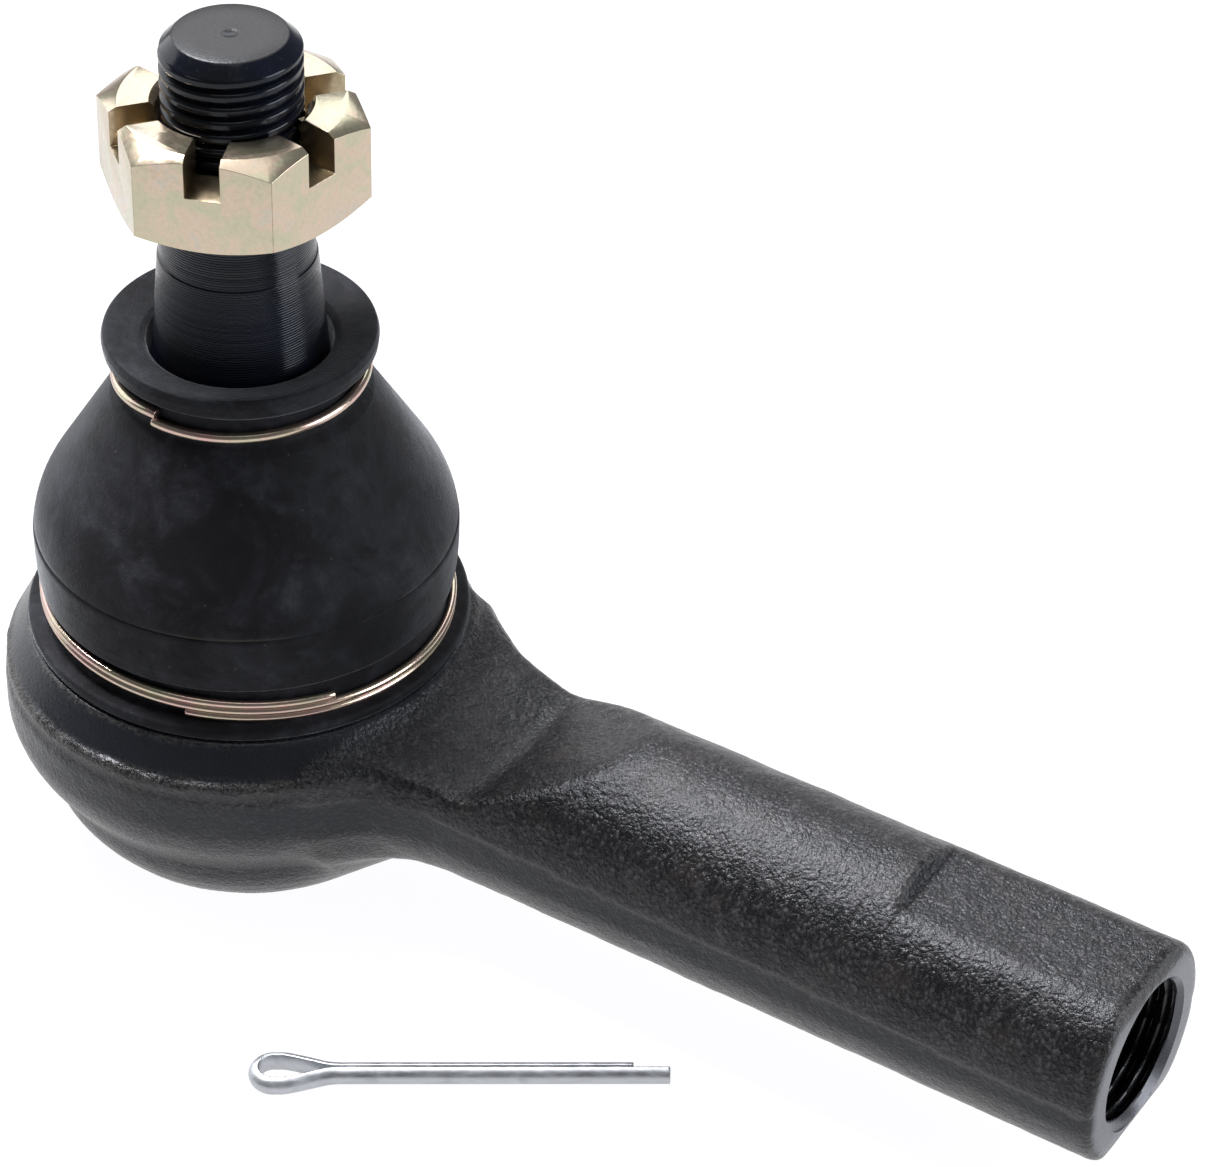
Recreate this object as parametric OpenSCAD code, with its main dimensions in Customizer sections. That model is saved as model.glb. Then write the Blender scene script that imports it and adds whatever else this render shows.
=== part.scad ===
// Outer tie rod end. A forged housing with an internally threaded shank holds a ball stud in
// a two-part liner, kept tight by a disc spring and closed by a rolled-in cap. A rubber boot
// with two wire rings seals the mouth. A castle nut sits on the stud, and the cotter pin that
// locks it lies loose beside the shank.
// Origin: centre of the ball. +X runs along the shank, +Z along the stud. Millimetres.

/* [Ball stud] */
// Diameter of the ball
ball_d = 27; // [26.5:0.1:27.2]
// Radius of the neck between the ball and the taper
neck_r = 7.6; // [6.8:0.1:7.7]
// Height of the taper's large end above the ball centre
taper_z = 31; // [29:0.5:33]
// Radius of the taper's large end
taper_r = 9.55; // [9.3:0.05:9.6]
// Height at which the taper ends and the thread begins
thread_z = 59; // [58.5:0.1:59.5]
// Radius of the taper's small end
taper_end_r = 7.25; // [7.1:0.05:7.4]
// Radius over the stud's M14 thread
thread_r = 6.9; // [6.8:0.02:6.92]
// Height of the stud's top face above the ball centre
stud_z = 75.75; // [74:0.05:77]
// Diameter of the cotter pin's cross hole
cross_hole_d = 3.4; // [3:0.1:3.6]

/* [Castle nut] */
// Width across the nut's flats
nut_flats = 23.35; // [22:0.05:24.2]
// Height of the nut's seating face above the ball centre
nut_z = 58.45; // [58.4:0.05:60]
// Height of the nut, towers included
nut_h = 10.15; // [9.8:0.05:10.8]
// Depth of the six slots
slot_depth = 4.25; // [3.8:0.05:5]
// Width of the six slots
slot_w = 3.5; // [3:0.1:4]
// Turn of the nut about the stud, in degrees
nut_turn = 22.1; // [0:0.1:60]

/* [Housing] */
// Largest radius of the head
head_r = 25.6; // [25.2:0.05:26.5]
// Radius of the rough ledge at the foot of the collar
ledge_r = 25; // [24:0.1:25]
// Height of that ledge
ledge_z = 4.2; // [3.5:0.1:5]
// Radius of the collar's upper edge
collar_r = 22.8; // [22.2:0.1:23.5]
// Height of the collar's upper edge
collar_z = 7.9; // [7.5:0.05:8]
// Radius of the spigot that carries the boot
spigot_r = 19.6; // [19:0.1:20]
// Height of the spigot's top
spigot_z = 12.6; // [12:0.1:12.8]
// Depth of the head's underside below the ball centre
bottom_z = -16; // [-16.5:0.1:-15.9]

/* [Shank] */
// Distance from the ball centre to the shank's open end
shank_x = 104.6; // [95:0.1:125]
// Radius of the shank
shank_r = 11.2; // [10.5:0.1:12]
// Distance from the ball centre to where the wrench flats begin
flat_x = 79.9; // [70:0.1:85]
// Distance across the wrench flats
across_flats = 19.2; // [18:0.1:21]
// Radius of the tapped hole's wall, the minor radius of an M16x1.5 thread
tapped_r = 7.19; // [6.5:0.01:7.5]
// Full depth of the tapped hole
tapped_depth = 48; // [30:1:50]

/* [Boot] */
// Radius of the boot at its widest
boot_r = 21.7; // [21.2:0.1:22]
// Thickness of the rubber
boot_wall = 2.2; // [1.6:0.1:2.4]
// Height of the boot's upper lip
boot_z = 42.9; // [42:0.1:43.5]
// Diameter of the wire of the two rings
ring_wire = 1; // [0.8:0.05:1.1]

/* [Cotter pin] */
// Diameter of the closed pin
pin_d = 2.1; // [1.9:0.1:2.6]
// Length from the eye to the end of the long leg
pin_l = 41.5; // [34:0.1:45]
// How much shorter the other leg is
pin_step = 3.6; // [2:0.1:5]
// Width of the eye
eye_w = 5.1; // [4.6:0.1:6.5]

/* [Hidden] */
$fn = 72;
eps = 0.01;

// head and neck
flank_r = 11;                       // rounding of the head's lower flank
flank_z = -0.3;                     // height of the head's largest radius
boss_z = -8.8;                      // where the flank ends at the bottom boss
boss_r = 21.5;
foot_r = 17.8;                      // outer radius of the rolled rim
foot_h = 2.5;                       // height of each of the two cones above that rim
fillet_r = 16;                      // rounding between head and shank
neck_bottom = -9;
neck_top = 7.1;                     // neck height at the collar
deck_z = 5;                         // neck height just outside the ledge
valley_x = 33.9;                    // lowest place of the neck's top
valley_z = 4.3;
ramp_x = 47;                        // where the ramp runs out on the shank's top
fillet_y = shank_r + fillet_r - 0.05;
fillet_x = sqrt(pow(head_r + fillet_r, 2) - pow(fillet_y, 2));
fillet_share = head_r / (head_r + fillet_r);

// socket and what fills it
fit_gap = 0.03;                     // gap between parts that touch
run_gap = 0.05;                     // gap around the ball
ball_r = ball_d / 2;
ball_flat_z = -9;                   // flat on the ball's underside, clear of the plate when tilted
liner_r = 16.4;                     // socket bore
shoulder_z = 5.2;                   // where the socket bore turns inwards
mouth_r = 13.1;                     // narrowest radius of the mouth
mouth_z = 7.2;
mouth_top_r = 15.3;
liner_split = 0.2;                  // half the gap between the liner's two parts
liner_top_z = 6.6;
liner_bottom_z = -12.6;
plate_t = 0.6;
plate_r = 16;
spring_t = 0.5;
spring_in_r = 8;
spring_out_r = 15.6;
cap_r = 17;
cap_t = 1.2;
rim_h = 0.7;                        // height of the rim rolled over the cap
rim_r = 15.2;
cap_z = bottom_z + rim_h;
plate_z = liner_bottom_z - fit_gap - plate_t;
spring_z = cap_z + cap_t + fit_gap;
seat_z = cap_z + cap_t + 0.6;       // step that the cap bears against

// shank end
countersink_r = 7.9;
drill_tip = 3;                      // length of the tapped hole's conical end

// stud
stud_chamfer = 1.4;
cross_hole_z = nut_z + nut_h - slot_depth / 2;
neck_top_z = 20;
shoulder_top_z = 26;

// nut
nut_corner = nut_flats / 2 / cos(30);
nut_top_r = 11;                     // radius of the flat on top of the towers
nut_crown = 1.55;                   // height of the chamfer on the towers
nut_foot_r = 11.65;
nut_foot_h = 1.1;
nut_bore = thread_r + run_gap;
nut_sink = 7.7;                     // radius of the upper countersink
nut_foot_sink = 8.2;                // radius of the lower one, clear of the taper's end

// boot
dome_x = 9.1;                       // centre of the arc between the boot's side and its cone
dome_z = 18.2;
dome_r = boot_r - dome_x;
dome_lean = 31.8;                   // lean of the cone above the arc, in degrees
dome_top_z = 36.2;
dome_ceiling_z = 35.6;              // top of the hollow under the cone
lip_r = 13.75;
lip_h = 2.5;
groove_r = 11.9;                    // groove of the upper ring
lip_hole_r = 9.3;                   // clear of the taper at the ceiling's height
lower_z = 12.9;                     // where the boot closes round the spigot
lower_groove_r = 20.4;
bead_r = 22.75;
bead_top_z = 9.4;
upper_ring_z = 38;
lower_ring_z = 10.1;

// cotter pin
eye_l = 8.4;                        // from the eye's end to where the legs meet
leg_gap = 0.12;                     // gap between the two legs
pin_place = [26.6, -37.25, bottom_z + pin_d / 2];
pin_turn = 34.2;

// A cylinder along +X
module rod_x(r, x0, x1) {
  translate([x0, 0, 0]) rotate([0, 90, 0]) cylinder(r = r, h = x1 - x0);
}

// Half section of the head, collar, spigot and bottom boss
module head_section() {
  intersection() {
    translate([head_r - flank_r, flank_z]) circle(flank_r);
    translate([0, boss_z]) square([head_r, flank_z - boss_z]);
  }
  translate([0, boss_z]) square([head_r - flank_r, flank_z - boss_z]);
  polygon([[0, flank_z - 1], [head_r - 1, flank_z - 1], [head_r, flank_z], [ledge_r, ledge_z],
    [collar_r, collar_z], [spigot_r, collar_z], [spigot_r, spigot_z], [0, spigot_z]]);
  polygon([[0, bottom_z], [foot_r, bottom_z], [boss_r - 1.3, bottom_z + foot_h],
    [boss_r, bottom_z + 2 * foot_h], [boss_r, boss_z + eps], [0, boss_z + eps]]);
}

// Half section of the socket: cap seat, bore, shoulder and flared mouth
module socket_section() {
  polygon([[0, bottom_z - 1], [rim_r, bottom_z - 1], [rim_r, cap_z], [cap_r, cap_z],
    [cap_r, seat_z], [liner_r, seat_z], [liner_r, shoulder_z], [mouth_r, mouth_z],
    [mouth_top_r, spigot_z], [mouth_top_r, spigot_z + 1], [0, spigot_z + 1]]);
}

// The neck, turned about the shank's axis: it widens into the head through a fillet
module neck() {
  intersection() {
    rotate([0, 90, 0]) rotate_extrude() difference() {
      polygon([[0, 0], [fillet_y * fillet_share, fillet_x * fillet_share],
        [fillet_y - fillet_r, fillet_x], [0, fillet_x]]);
      translate([fillet_y, fillet_x]) circle(fillet_r);
    }
    rotate_extrude() polygon([[0, neck_bottom], [ramp_x, neck_bottom], [ramp_x, valley_z],
      [valley_x, valley_z], [ledge_r + 1.5, deck_z], [collar_r, neck_top], [0, neck_top]]);
  }
}

// The space above the shank's root, seen from the side: a valley and a ramp
module above_root() {
  rotate([90, 0, 0]) translate([0, 0, -head_r]) linear_extrude(2 * head_r)
    polygon([[collar_r - 8, neck_top], [collar_r, neck_top], [ledge_r + 1.5, deck_z],
      [valley_x, valley_z], [ramp_x, shank_r + 0.1], [ramp_x, shank_r + 10],
      [collar_r - 8, shank_r + 10]]);
}

module shank() {
  difference() {
    rod_x(shank_r, 10, shank_x);
    above_root();
    for (side = [-1, 1])
      translate([flat_x, -shank_r - 1, side * (across_flats / 2 + 5) - 5])
        cube([shank_x, 2 * shank_r + 2, 10]);
  }
}

module housing() {
  color("#2b2c2f") difference() {
    union() {
      rotate_extrude() head_section();
      neck();
      shank();
    }
    rotate_extrude() socket_section();
    rod_x(tapped_r, shank_x - tapped_depth, shank_x + 1);
    translate([shank_x - tapped_depth, 0, 0]) rotate([0, -90, 0])
      cylinder(r1 = tapped_r, r2 = 0.5, h = drill_tip);
    translate([shank_x - (countersink_r - tapped_r), 0, 0]) rotate([0, 90, 0])
      cylinder(r1 = tapped_r, r2 = countersink_r + 1, h = countersink_r - tapped_r + 1);
  }
}

// The part of the liner between two heights, bored for the ball
module liner(z0, z1) {
  difference() {
    translate([0, 0, z0]) cylinder(r = liner_r - fit_gap, h = z1 - z0);
    sphere(ball_r + run_gap);
  }
}

module bearing_upper() {
  top_r = sqrt(pow(ball_r + run_gap, 2) - pow(liner_top_z, 2));
  slope = (liner_r - mouth_r) / (mouth_z - shoulder_z);
  color("#e8e4d8") intersection() {
    liner(liner_split, liner_top_z);
    rotate_extrude() polygon([[top_r - 3, 0], [liner_r - fit_gap, 0],
      [liner_r - fit_gap, shoulder_z - fit_gap],
      [liner_r - slope * (liner_top_z - shoulder_z) - 2 * fit_gap, liner_top_z - fit_gap],
      [top_r - 3, liner_top_z - fit_gap]]);
  }
}

module bearing_lower() {
  color("#e8e4d8") liner(liner_bottom_z, -liner_split);
}

module pressure_plate() {
  color("#8a8d92") translate([0, 0, plate_z]) cylinder(r = plate_r, h = plate_t);
}

module disc_spring() {
  rise = plate_z - fit_gap - spring_z - spring_t;
  color("#5b5e63") rotate_extrude() polygon([[spring_in_r, spring_z + rise],
    [spring_out_r, spring_z], [spring_out_r, spring_z + spring_t],
    [spring_in_r, spring_z + rise + spring_t]]);
}

module end_cap() {
  color("#3c3e42") translate([0, 0, cap_z]) cylinder(r = cap_r - fit_gap, h = cap_t);
}

// Half section of the stud above the ball
module stud_section() {
  polygon([[0, 0], [neck_r, 0], [neck_r, neck_top_z], [taper_r, shoulder_top_z],
    [taper_r, taper_z], [taper_end_r, thread_z], [thread_r, thread_z + 0.4],
    [thread_r, stud_z - stud_chamfer], [thread_r - stud_chamfer, stud_z], [0, stud_z]]);
}

module ball_stud() {
  color("#1d1e21") difference() {
    rotate_extrude() {
      stud_section();
      intersection() {
        circle(ball_r);
        translate([0, ball_flat_z]) square([ball_r, ball_r - ball_flat_z]);
      }
    }
    translate([0, 0, cross_hole_z]) rotate([90, 0, nut_turn + 90])
      cylinder(d = cross_hole_d, h = 3 * thread_r, center = true);
  }
}

// Half section of an arc with a leaning straight side above it, up to a height
module dome(r, top_z) {
  intersection() {
    translate([dome_x, dome_z]) circle(r);
    translate([0, dome_z]) square([boot_r, r * sin(dome_lean)]);
  }
  polygon([[0, dome_z], [dome_x, dome_z],
    [dome_x + r * cos(dome_lean), dome_z + r * sin(dome_lean)],
    [dome_x + (r - (top_z - dome_z) * sin(dome_lean)) / cos(dome_lean), top_z], [0, top_z]]);
}

// Half section of the boot: dome, upper lip with its groove, lower bead with its groove
module boot_section() {
  difference() {
    union() {
      dome(dome_r, dome_top_z);
      polygon([[0, lower_z - 1], [boot_r - 0.6, lower_z - 1], [boot_r - 0.2, lower_z + 0.6],
        [boot_r, dome_z], [0, dome_z]]);
      translate([0, dome_top_z - eps]) square([groove_r, boot_z - dome_top_z + eps - 0.5]);
      polygon([[0, boot_z - lip_h], [lip_r - 0.4, boot_z - lip_h], [lip_r, boot_z - lip_h + 0.6],
        [lip_r, boot_z - 0.6], [lip_r - 0.5, boot_z], [lip_r - 1.2, boot_z],
        [lip_hole_r + 0.6, boot_z - 0.7], [0, boot_z - 0.7]]);
      polygon([[0, collar_z + run_gap], [bead_r, collar_z + run_gap], [bead_r, bead_top_z - 0.5],
        [bead_r - 0.5, bead_top_z], [lower_groove_r, bead_top_z],
        [lower_groove_r, lower_z - 1], [0, lower_z - 1]]);
    }
    dome(dome_r - boot_wall, dome_ceiling_z);
    translate([0, lower_z]) square([boot_r - boot_wall, dome_z + eps - lower_z]);
    square([spigot_r + run_gap, lower_z + eps]);
    square([lip_hole_r, boot_z + 1]);
  }
}

module dust_boot() {
  color("#17181b") rotate_extrude() boot_section();
}

module boot_upper_ring() {
  color("#cbb994") rotate_extrude()
    translate([groove_r + run_gap + ring_wire / 2, upper_ring_z]) circle(d = ring_wire, $fn = 24);
}

module boot_lower_ring() {
  color("#cbb994") rotate_extrude() for (turn = [0, 1])
    translate([lower_groove_r + run_gap + ring_wire / 2, lower_ring_z + turn * ring_wire * 0.9])
      circle(d = ring_wire, $fn = 24);
}

// Outline that rounds the nut's corners at both ends
module nut_envelope() {
  rotate_extrude() polygon([[0, 0], [nut_foot_r, 0], [nut_corner + 0.2, nut_foot_h],
    [nut_corner + 0.2, nut_h - nut_crown], [nut_top_r, nut_h], [0, nut_h]]);
}

module castle_nut() {
  color("#c9b98f") translate([0, 0, nut_z]) rotate([0, 0, nut_turn]) difference() {
    intersection() {
      cylinder(r = nut_corner, h = nut_h, $fn = 6);
      nut_envelope();
    }
    translate([0, 0, -1]) cylinder(r = nut_bore, h = nut_h + 2);
    translate([0, 0, -1])
      cylinder(r1 = nut_foot_sink + 1, r2 = nut_bore, h = nut_foot_sink + 1 - nut_bore);
    translate([0, 0, nut_h + nut_bore - nut_sink])
      cylinder(r1 = nut_bore, r2 = nut_sink + 1, h = nut_sink + 1 - nut_bore);
    for (turn = [30, 90, 150]) rotate([0, 0, turn])
      translate([-nut_corner - 1, -slot_w / 2, nut_h - slot_depth])
        cube([2 * nut_corner + 2, slot_w, slot_depth + 1]);
  }
}

// One half-round leg on the +Y side, from the eye to x1
module pin_leg(x1) {
  intersection() {
    rod_x(pin_d / 2, eye_l - 1, x1);
    translate([0, leg_gap / 2, -pin_d]) cube([pin_l, pin_d, 2 * pin_d]);
  }
}

// Outline of the eye: a drop shape with its point towards the legs
module drop(r, tip_x, tip_half) {
  translate([eye_w / 2, 0]) circle(r);
  polygon([[eye_w / 2, -r], [tip_x, -tip_half], [tip_x, tip_half], [eye_w / 2, r]]);
}

module cotter_pin() {
  color("#b9bdc4") translate(pin_place) rotate([0, 0, pin_turn]) {
    pin_leg(pin_l - pin_step);
    mirror([0, 1, 0]) pin_leg(pin_l);
    translate([0, 0, -pin_d / 2 + 0.1]) linear_extrude(pin_d - 0.2) difference() {
      drop(eye_w / 2, eye_l, pin_d / 2 - 0.1);
      drop(eye_w / 2 - pin_d / 2 + 0.1, eye_l - 0.8, leg_gap / 2);
    }
  }
}

housing();
bearing_upper();
bearing_lower();
pressure_plate();
disc_spring();
end_cap();
ball_stud();
dust_boot();
boot_upper_ring();
boot_lower_ring();
castle_nut();
cotter_pin();
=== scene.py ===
import math

import bmesh
import bpy
import numpy as np
from mathutils import Matrix, Vector, noise


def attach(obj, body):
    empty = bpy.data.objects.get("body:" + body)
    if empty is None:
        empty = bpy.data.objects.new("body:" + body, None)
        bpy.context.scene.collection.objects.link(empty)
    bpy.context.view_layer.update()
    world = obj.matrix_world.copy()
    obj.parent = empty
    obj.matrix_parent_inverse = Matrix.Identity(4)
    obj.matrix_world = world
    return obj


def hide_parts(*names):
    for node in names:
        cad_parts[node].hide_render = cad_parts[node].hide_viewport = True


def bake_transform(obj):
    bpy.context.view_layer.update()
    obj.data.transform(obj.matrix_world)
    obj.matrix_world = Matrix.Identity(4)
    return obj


# A steering tie rod end. Shapes are in millimetres, in the frame's own axes: the ball's centre is
# the origin, the stud stands along Z and the shank runs along X.
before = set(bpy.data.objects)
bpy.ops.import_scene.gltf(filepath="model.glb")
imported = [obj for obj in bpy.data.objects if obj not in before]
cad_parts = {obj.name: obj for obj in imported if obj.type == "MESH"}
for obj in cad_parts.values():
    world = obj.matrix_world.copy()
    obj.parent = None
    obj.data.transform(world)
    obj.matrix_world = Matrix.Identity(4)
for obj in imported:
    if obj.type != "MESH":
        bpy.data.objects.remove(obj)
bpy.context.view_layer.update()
MM = 0.001

# ---------------------------------------------------------------- camera
AZ, EL, ROLL = math.radians(31.857), math.radians(37.426), math.radians(1.597)
AIM = Vector((42.390, 0.738, 28.534))
DISTANCE = 415.739


def set_camera():
    back = Vector((math.sin(AZ) * math.cos(EL), -math.cos(AZ) * math.cos(EL), math.sin(EL)))
    side = Vector((math.cos(AZ), math.sin(AZ), 0))
    up = back.cross(side)
    turned = side * math.cos(ROLL) + up * math.sin(ROLL)
    turned_up = -side * math.sin(ROLL) + up * math.cos(ROLL)
    data = bpy.data.cameras.new("camera")
    cam = bpy.data.objects.new("camera", data)
    bpy.context.scene.collection.objects.link(cam)
    place = Matrix((turned, turned_up, back)).transposed().to_4x4()
    place.translation = (AIM + back * DISTANCE) * MM
    cam.matrix_world = place
    data.sensor_width = 36
    data.lens = 128.66
    data.clip_start = 0.01
    data.clip_end = 20
    bpy.context.scene.camera = cam
    bpy.context.scene.view_settings.view_transform = "Standard"


set_camera()


# ---------------------------------------------------------------- mesh helpers
def shade(mesh, angle):
    """Smooth shading that keeps the edges above an angle in degrees sharp."""
    mesh.shade_smooth()
    mesh.set_sharp_from_angle(angle=math.radians(angle))


def make_object(name, co, faces, smooth_angle=38):
    """A mesh object from points in millimetres and a list of faces."""
    mesh = bpy.data.meshes.new(name)
    mesh.from_pydata((np.asarray(co, float) * MM).tolist(), [], [tuple(f) for f in faces])
    mesh.validate()
    mesh.update()
    shade(mesh, smooth_angle)
    o = bpy.data.objects.new(name, mesh)
    bpy.context.scene.collection.objects.link(o)
    return o


def points_of(o):
    """The object's points in millimetres, a row each."""
    co = np.zeros(len(o.data.vertices) * 3)
    o.data.vertices.foreach_get("co", co)
    return co.reshape(-1, 3) / MM


def set_points(o, co):
    o.data.vertices.foreach_set("co", (co * MM).astype(np.float32).ravel())
    o.data.update()


def normals_of(o):
    n = np.zeros(len(o.data.vertices) * 3)
    o.data.vertex_normals.foreach_get("vector", n)
    return n.reshape(-1, 3)


def edges_of(o):
    e = np.zeros(len(o.data.edges) * 2, np.int64)
    o.data.edges.foreach_get("vertices", e)
    return e.reshape(-1, 2)


def neighbour_sum(e, values):
    """For each point, the sum of its neighbours' values. e holds the edges' pairs of points."""
    n = len(values)
    return np.bincount(e[:, 0], values[e[:, 1]], n) + np.bincount(e[:, 1], values[e[:, 0]], n)


def soften(o, values, times):
    """Averages values, one per point, over neighbouring points."""
    e = edges_of(o)
    count = np.bincount(e.ravel(), minlength=len(values)) + 1.0
    for _ in range(times):
        values = (values + neighbour_sum(e, values)) / count
    return values


def add_attribute(o, name, values, domain="POINT"):
    a = o.data.attributes.new(name, "FLOAT", domain)
    a.data.foreach_set("value", np.asarray(values, np.float32))


def apply_modifiers(o):
    dg = bpy.context.evaluated_depsgraph_get()
    mesh = bpy.data.meshes.new_from_object(o.evaluated_get(dg))
    o.modifiers.clear()
    old = o.data
    o.data = mesh
    bpy.data.meshes.remove(old)


def cut(o, tool, operation="DIFFERENCE"):
    """Boolean of o with tool, applied. The tool is deleted."""
    m = o.modifiers.new("cut", "BOOLEAN")
    m.object = tool
    m.operation = operation
    m.solver = "MANIFOLD"
    apply_modifiers(o)
    bpy.data.objects.remove(tool)


def bevel(o, width, segments, angle):
    """Rounds the edges above an angle in degrees, applied. The width is in millimetres."""
    b = o.modifiers.new("bevel", "BEVEL")
    b.width = width * MM
    b.segments = segments
    b.limit_method = "ANGLE"
    b.angle_limit = math.radians(angle)
    apply_modifiers(o)


def face_outwards(o):
    """Turns the faces of a closed mesh to point outwards."""
    bm = bmesh.new()
    bm.from_mesh(o.data)
    bmesh.ops.recalc_face_normals(bm, faces=bm.faces)
    bm.to_mesh(o.data)
    bm.free()


def step(x, a, b):
    """0 up to a and 1 from b on, smooth between. a may be above b."""
    t = np.clip((x - a) / (b - a), 0, 1)
    return t * t * (3 - 2 * t)


def noise_at(co, scale, offset=(0, 0, 0)):
    """Perlin noise at points in millimetres, about -1 to 1. Scale is in cycles per millimetre."""
    off = Vector(offset)
    return np.array([noise.noise(Vector(p) * scale + off) for p in co.tolist()])


# ---------------------------------------------------------------- turned and swept shapes
def ring_stack(r, z, a):
    """Rings about Z, an array (rings, points, 3). r is (rings, 1) or (rings, points)."""
    return np.stack([r * np.cos(a), r * np.sin(a), np.repeat(z[:, None], len(a), 1)], -1)


def ring_faces(rings, wrap=False):
    """Quads between neighbouring rings. With wrap, the last ring also joins the first."""
    n, m = rings.shape[:2]
    i, j = np.meshgrid(np.arange(n if wrap else n - 1), np.arange(m), indexing="ij")
    here, ahead, turned = i * m, (i + 1) % n * m, (j + 1) % m
    return np.stack([here + j, here + turned, ahead + turned, ahead + j], -1).reshape(-1, 4).tolist()


def capped_tube(rings):
    """Points and faces of rings whose two ends are closed by fans."""
    n, m = rings.shape[:2]
    co = np.vstack([rings.reshape(-1, 3), rings[0].mean(0), rings[-1].mean(0)])
    first, last = n * m, n * m + 1
    faces = ring_faces(rings)
    faces += [(first, (k + 1) % m, k) for k in range(m)]
    faces += [(last, (n - 1) * m + k, (n - 1) * m + (k + 1) % m) for k in range(m)]
    return co, faces


def revolve(name, profile, steps=128, axis="Z", closed_loop=False):
    """Turns a profile of (radius, height) points about Z or X. An open profile's ends are capped."""
    p = np.asarray(profile, float)
    rings = ring_stack(p[:, :1], p[:, 1], np.arange(steps) * 2 * math.pi / steps)
    if axis == "X":
        rings = rings[..., [2, 0, 1]]
    if closed_loop:
        return make_object(name, rings.reshape(-1, 3), ring_faces(rings, wrap=True))
    return make_object(name, *capped_tube(rings))


def sweep(name, path, section):
    """Sweeps a section of (sideways, up) offsets along a path."""
    path = np.asarray(path, float)
    tangent = np.gradient(path, axis=0)
    tangent /= np.linalg.norm(tangent, axis=1)[:, None]
    rings = []
    for p, t in zip(path, tangent):
        s = np.cross((0, 0, 1.0), t)
        s /= np.linalg.norm(s)
        u = np.cross(t, s)
        rings.append([p + s * a + u * b for a, b in section])
    return make_object(name, *capped_tube(np.array(rings)), 60)


def box_tool(lo, hi):
    co = [(x, y, z) for x in (lo[0], hi[0]) for y in (lo[1], hi[1]) for z in (lo[2], hi[2])]
    faces = [(0, 1, 3, 2), (4, 6, 7, 5), (0, 4, 5, 1), (2, 3, 7, 6), (0, 2, 6, 4), (1, 5, 7, 3)]
    return make_object("tool", co, faces)


def rounded(points, radii, steps=6):
    """A polyline with rounded corners, each with its own radius or 0 for sharp. The ends stay."""
    pts = [np.array(q, float) for q in points]
    out = [pts[0]]
    for k in range(1, len(pts) - 1):
        p, r = pts[k], radii[k]
        a, b = pts[k - 1] - p, pts[k + 1] - p
        la, lb = np.linalg.norm(a), np.linalg.norm(b)
        a, b = a / la, b / lb
        half = math.acos(np.clip(a @ b, -1, 1)) / 2
        if r <= 0 or half > 1.55:
            out.append(p)
            continue
        d = min(r / math.tan(half), la * 0.49, lb * 0.49)
        r = d * math.tan(half)
        centre = p + (a + b) / np.linalg.norm(a + b) * (r / math.sin(half))
        u, v = p + a * d - centre, p + b * d - centre
        turn = math.pi - 2 * half
        for s in range(steps + 1):
            w = s / steps
            out.append(centre + (math.sin((1 - w) * turn) * u + math.sin(w * turn) * v) / math.sin(turn))
    out.append(pts[-1])
    return np.array(out)


def resample(p, gap):
    """The same line with extra points, so that no stretch is longer than gap."""
    out = [p[0]]
    for a, b in zip(p[:-1], p[1:]):
        n = max(1, int(math.ceil(np.linalg.norm(b - a) / gap)))
        out += [a + (b - a) * k / n for k in range(1, n + 1)]
    return np.array(out)


def smooth_line(key, gap):
    """A centripetal Catmull-Rom line through the key points, with points about gap apart."""
    key = np.array(key)
    ext = np.vstack([2 * key[0] - key[1], key, 2 * key[-1] - key[-2]])
    out = []
    for k in range(1, len(ext) - 2):
        p0, p1, p2, p3 = ext[k - 1:k + 3]
        n = max(2, int(np.linalg.norm(p2 - p1) / gap))
        d0, d1, d2 = (max(np.linalg.norm(q - p) ** 0.5, 1e-4) for p, q in ((p0, p1), (p1, p2), (p2, p3)))
        for s in range(n):
            w = s / n * d1 + d0
            a1 = (d0 - w) / d0 * p0 + w / d0 * p1
            a2 = (d0 + d1 - w) / d1 * p1 + (w - d0) / d1 * p2
            a3 = (d0 + d1 + d2 - w) / d2 * p2 + (w - d0 - d1) / d2 * p3
            b1 = (d0 + d1 - w) / (d0 + d1) * a1 + w / (d0 + d1) * a2
            b2 = (d0 + d1 + d2 - w) / (d1 + d2) * a2 + (w - d0) / (d1 + d2) * a3
            out.append((d0 + d1 - w) / d1 * b1 + (w - d0) / d1 * b2)
    out.append(key[-1])
    return np.array(out)


PITCH = 1.5


def thread_offset(along, t):
    """0 where the thread's line crosses each ring, 0.5 half a turn away. t is 0 to 1 round the ring."""
    return np.abs(np.mod(along[:, None] / PITCH - t[None, :], 1) - 0.5)


# ---------------------------------------------------------------- distance fields
TABLE_GAP = 0.1


def polygon_distance(x, y, poly):
    """Signed distance from points to a closed polygon, negative inside."""
    poly = np.asarray(poly, float)
    d = np.full(x.shape, 1e9)
    inside = np.zeros(x.shape, bool)
    for (ax, ay), (bx, by) in zip(poly, np.roll(poly, -1, 0)):
        ex, ey = bx - ax, by - ay
        wx, wy = x - ax, y - ay
        t = np.clip((wx * ex + wy * ey) / (ex * ex + ey * ey + 1e-12), 0, 1)
        d = np.minimum(d, (wx - ex * t) ** 2 + (wy - ey * t) ** 2)
        crosses = (ay > y) != (by > y)
        with np.errstate(divide="ignore", invalid="ignore"):
            inside ^= crosses & (x < (bx - ax) * (y - ay) / (by - ay + 1e-12) + ax)
    d = np.sqrt(d)
    return np.where(inside, -d, d)


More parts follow.
